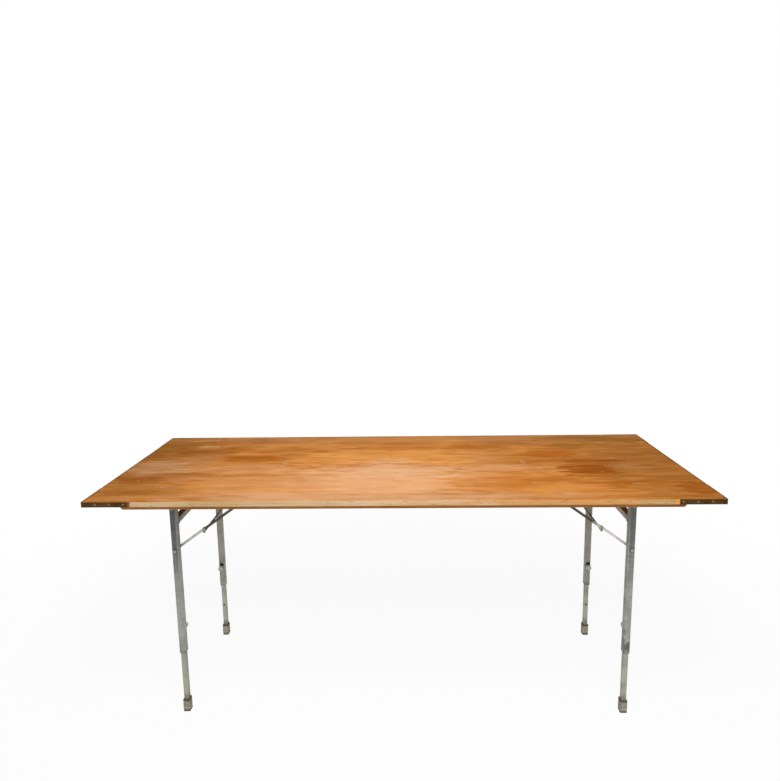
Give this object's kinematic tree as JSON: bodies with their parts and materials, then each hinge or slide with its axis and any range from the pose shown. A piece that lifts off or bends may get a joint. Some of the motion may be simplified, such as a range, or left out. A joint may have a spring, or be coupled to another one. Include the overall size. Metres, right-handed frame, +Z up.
{
  "type": "folding trestle table",
  "caption": "Rectangular plywood table with steel corner guards, hinged folding leg frames, folding stays and telescoping legs locked by pull plungers.",
  "frame": {"origin": "on the floor under the middle of the top", "axes": "+X along the length of the top, -Y the front, +Z up"},
  "size_m": [1.8328, 0.7648, 0.76],
  "materials": {
    "plywood": "worn varnished plywood",
    "batten_wood": "dull varnished softwood",
    "guard_steel": "dark worn paint",
    "screw_steel": "zinc plated",
    "bracket_steel": "dull zinc",
    "bolt_steel": "dull zinc",
    "spring_steel": "drawn wire",
    "plunger_zinc": "zinc plated",
    "galvanised_tube": "aged galvanised",
    "inner_tube": "aged galvanised",
    "stay_steel": "dull zinc",
    "foot_plastic": "worn plastic"
  },
  "bodies": {
    "top": {"plywood_top": "plywood", "corner_guard_screws": "screw_steel", "front_batten": "batten_wood", "back_batten": "batten_wood", "left_hinge_batten": "batten_wood", "right_hinge_batten": "batten_wood", "batten_screws": "screw_steel", "hinge_bolts": "bolt_steel", "bracket_screws": "screw_steel", "stay_bracket_pins": "bracket_steel", "front_left_corner_guard": "guard_steel", "front_left_hinge_bracket": "bracket_steel", "front_left_stay_bracket": "bracket_steel", "front_right_corner_guard": "guard_steel", "front_right_hinge_bracket": "bracket_steel", "front_right_stay_bracket": "bracket_steel", "back_left_corner_guard": "guard_steel", "back_left_hinge_bracket": "bracket_steel", "back_left_stay_bracket": "bracket_steel", "back_right_corner_guard": "guard_steel", "back_right_hinge_bracket": "bracket_steel", "back_right_stay_bracket": "bracket_steel"},
    "left_leg_frame": {"front_left_leg_tube": "galvanised_tube", "back_left_leg_tube": "galvanised_tube", "left_cross_tube": "galvanised_tube", "left_stay_bolts": "bolt_steel", "left_stay_bushes": "bolt_steel", "left_plunger_housings": "plunger_zinc", "left_plunger_springs": "spring_steel"},
    "left_upper_stays": {"left_stay_upper_links": "stay_steel", "left_stay_upper_rivets": "stay_steel"},
    "left_lower_stays": {"left_stay_lower_links": "stay_steel", "left_stay_lower_rivets": "stay_steel", "left_release_bar": "stay_steel"},
    "right_leg_frame": {"front_right_leg_tube": "galvanised_tube", "back_right_leg_tube": "galvanised_tube", "right_cross_tube": "galvanised_tube", "right_stay_bolts": "bolt_steel", "right_stay_bushes": "bolt_steel", "right_plunger_housings": "plunger_zinc", "right_plunger_springs": "spring_steel"},
    "right_upper_stays": {"right_stay_upper_links": "stay_steel", "right_stay_upper_rivets": "stay_steel"},
    "right_lower_stays": {"right_stay_lower_links": "stay_steel", "right_stay_lower_rivets": "stay_steel", "right_release_bar": "stay_steel"},
    "front_left_lower_leg": {"front_left_inner_leg": "inner_tube", "front_left_foot": "foot_plastic"},
    "front_left_plunger": {"front_left_lock_plunger": "plunger_zinc"},
    "front_right_lower_leg": {"front_right_inner_leg": "inner_tube", "front_right_foot": "foot_plastic"},
    "front_right_plunger": {"front_right_lock_plunger": "plunger_zinc"},
    "back_left_lower_leg": {"back_left_inner_leg": "inner_tube", "back_left_foot": "foot_plastic"},
    "back_left_plunger": {"back_left_lock_plunger": "plunger_zinc"},
    "back_right_lower_leg": {"back_right_inner_leg": "inner_tube", "back_right_foot": "foot_plastic"},
    "back_right_plunger": {"back_right_lock_plunger": "plunger_zinc"}
  },
  "joints": [
    {"name": "left_fold", "type": "hinge", "parent": "top", "child": "left_leg_frame", "pos_m": [-0.702, 0, 0.696], "axis": [0, -1, 0], "range_deg": [0, 90]},
    {"name": "left_upper_stay_turn", "type": "hinge", "parent": "top", "child": "left_upper_stays", "pos_m": [-0.449, 0, 0.733], "axis": [0, -1, 0], "range_deg": [-36, 0]},
    {"name": "left_lower_stay_turn", "type": "hinge", "parent": "left_leg_frame", "child": "left_lower_stays", "pos_m": [-0.702, 0, 0.552], "axis": [0, -1, 0], "range_deg": [0, 36]},
    {"name": "right_fold", "type": "hinge", "parent": "top", "child": "right_leg_frame", "pos_m": [0.702, 0, 0.696], "axis": [0, 1, 0], "range_deg": [0, 90]},
    {"name": "right_upper_stay_turn", "type": "hinge", "parent": "top", "child": "right_upper_stays", "pos_m": [0.449, 0, 0.733], "axis": [0, 1, 0], "range_deg": [-36, 0]},
    {"name": "right_lower_stay_turn", "type": "hinge", "parent": "right_leg_frame", "child": "right_lower_stays", "pos_m": [0.702, 0, 0.552], "axis": [0, 1, 0], "range_deg": [0, 36]},
    {"name": "front_left_leg_slide", "type": "slide", "parent": "left_leg_frame", "child": "front_left_lower_leg", "axis": [0, 0, 1], "range_m": [0, 0.158]},
    {"name": "front_left_plunger_pull", "type": "slide", "parent": "left_leg_frame", "child": "front_left_plunger", "axis": [0, 1, 0], "range_m": [0, 0.004], "stiffness_N_per_m": 1500, "springref_m": -0.004, "deforming": ["left_plunger_springs"]},
    {"name": "front_right_leg_slide", "type": "slide", "parent": "right_leg_frame", "child": "front_right_lower_leg", "axis": [0, 0, 1], "range_m": [0, 0.158]},
    {"name": "front_right_plunger_pull", "type": "slide", "parent": "right_leg_frame", "child": "front_right_plunger", "axis": [0, 1, 0], "range_m": [0, 0.004], "stiffness_N_per_m": 1500, "springref_m": -0.004, "deforming": ["right_plunger_springs"]},
    {"name": "back_left_leg_slide", "type": "slide", "parent": "left_leg_frame", "child": "back_left_lower_leg", "axis": [0, 0, 1], "range_m": [0, 0.158]},
    {"name": "back_left_plunger_pull", "type": "slide", "parent": "left_leg_frame", "child": "back_left_plunger", "axis": [0, -1, 0], "range_m": [0, 0.004], "stiffness_N_per_m": 1500, "springref_m": -0.004, "deforming": ["left_plunger_springs"]},
    {"name": "back_right_leg_slide", "type": "slide", "parent": "right_leg_frame", "child": "back_right_lower_leg", "axis": [0, 0, 1], "range_m": [0, 0.158]},
    {"name": "back_right_plunger_pull", "type": "slide", "parent": "right_leg_frame", "child": "back_right_plunger", "axis": [0, -1, 0], "range_m": [0, 0.004], "stiffness_N_per_m": 1500, "springref_m": -0.004, "deforming": ["right_plunger_springs"]}
  ],
  "couplings": [
    {"joint": "left_upper_stay_turn", "follows": "left_fold", "ratio": -0.38805},
    {"joint": "left_lower_stay_turn", "follows": "left_fold", "ratio": 0.38855},
    {"joint": "right_upper_stay_turn", "follows": "right_fold", "ratio": -0.38805},
    {"joint": "right_lower_stay_turn", "follows": "right_fold", "ratio": 0.38855}
  ]
}
